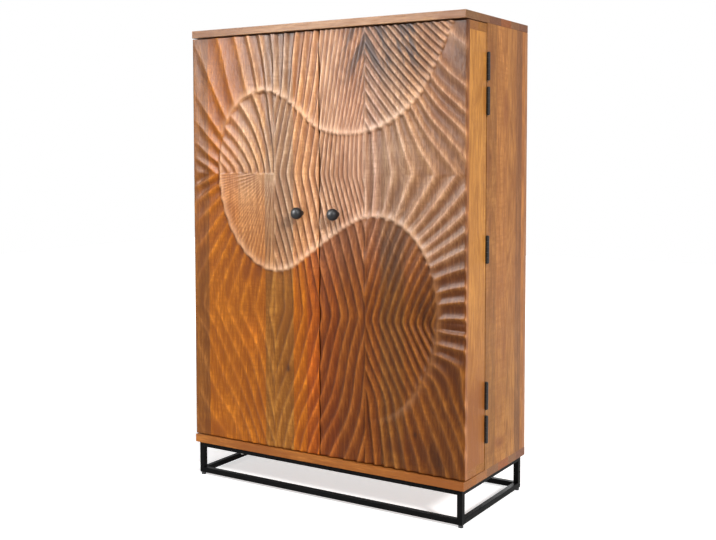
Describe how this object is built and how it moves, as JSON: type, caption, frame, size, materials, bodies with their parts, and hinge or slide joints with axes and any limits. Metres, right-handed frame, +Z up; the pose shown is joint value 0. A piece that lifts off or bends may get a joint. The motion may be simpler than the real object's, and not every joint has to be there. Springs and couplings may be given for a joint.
{
  "type": "bar cabinet",
  "caption": "Tall wooden bar cabinet with carved box doors that hold bottles, shelves and stemware rails inside, on a black square-tube base frame.",
  "frame": {"origin": "on the floor, under the middle of the cabinet's boards (the knobs stand out in front of them)", "axes": "+X to the right seen from the front, -Y to the front (doors), +Z up"},
  "size_m": [0.9706, 0.447, 1.4],
  "materials": {
    "carved_wood": "satin lacquer over hand-carved mango wood",
    "board_wood": "satin lacquer on edge-glued planks",
    "side_wood": "satin lacquer on edge-glued planks",
    "door_wood": "satin lacquer",
    "inside_wood": "satin lacquer",
    "black_steel": "satin black powder coat",
    "black_knob": "satin black",
    "black_hinge": "matte black",
    "black_plastic": "matte black",
    "zinc_steel": "zinc plated"
  },
  "bodies": {
    "carcass": {"top_board": "board_wood", "base_board": "board_wood", "side_left": "side_wood", "side_right": "side_wood", "back_panel": "side_wood", "shelf_upper": "inside_wood", "shelf_middle": "inside_wood", "divider": "inside_wood", "half_shelf_left": "inside_wood", "half_shelf_right": "inside_wood", "shelf_pins": "zinc_steel", "stemware_rails": "inside_wood", "glides": "black_plastic", "frame_screws": "zinc_steel", "door_catches": "black_plastic", "carcass_hinge_leaves": "black_hinge", "carcass_hinge_screws": "black_hinge", "hinge_pins": "black_hinge", "frame_post_front_left": "black_steel", "frame_post_front_right": "black_steel", "frame_post_rear_left": "black_steel", "frame_post_rear_right": "black_steel", "frame_rail_low_front": "black_steel", "frame_rail_low_rear": "black_steel", "frame_rail_low_left": "black_steel", "frame_rail_low_right": "black_steel", "frame_rail_high_front": "black_steel", "frame_rail_high_rear": "black_steel", "frame_rail_high_left": "black_steel", "frame_rail_high_right": "black_steel"},
    "door_left": {"door_left_panel": "carved_wood", "door_left_outer_side": "door_wood", "door_left_inner_side": "door_wood", "door_left_top": "door_wood", "door_left_bottom": "door_wood", "door_left_bottle_rails": "inside_wood", "door_left_knob": "black_knob", "door_left_knob_screw": "zinc_steel", "door_left_catch_plate": "zinc_steel", "door_left_hinge_leaves": "black_hinge", "door_left_hinge_screws": "black_hinge", "door_left_shelf_1": "inside_wood", "door_left_shelf_2": "inside_wood"},
    "door_right": {"door_right_panel": "carved_wood", "door_right_outer_side": "door_wood", "door_right_inner_side": "door_wood", "door_right_top": "door_wood", "door_right_bottom": "door_wood", "door_right_bottle_rails": "inside_wood", "door_right_knob": "black_knob", "door_right_knob_screw": "zinc_steel", "door_right_catch_plate": "zinc_steel", "door_right_hinge_leaves": "black_hinge", "door_right_hinge_screws": "black_hinge", "door_right_shelf_1": "inside_wood", "door_right_shelf_2": "inside_wood"}
  },
  "joints": [
    {"name": "door_left_hinge", "type": "hinge", "parent": "carcass", "child": "door_left", "pos_m": [-0.4803, -0.0764, 0.7545], "axis": [0, 0, -1], "range_deg": [0, 180]},
    {"name": "door_right_hinge", "type": "hinge", "parent": "carcass", "child": "door_right", "pos_m": [0.4803, -0.0764, 0.7545], "axis": [0, 0, 1], "range_deg": [0, 180]}
  ]
}
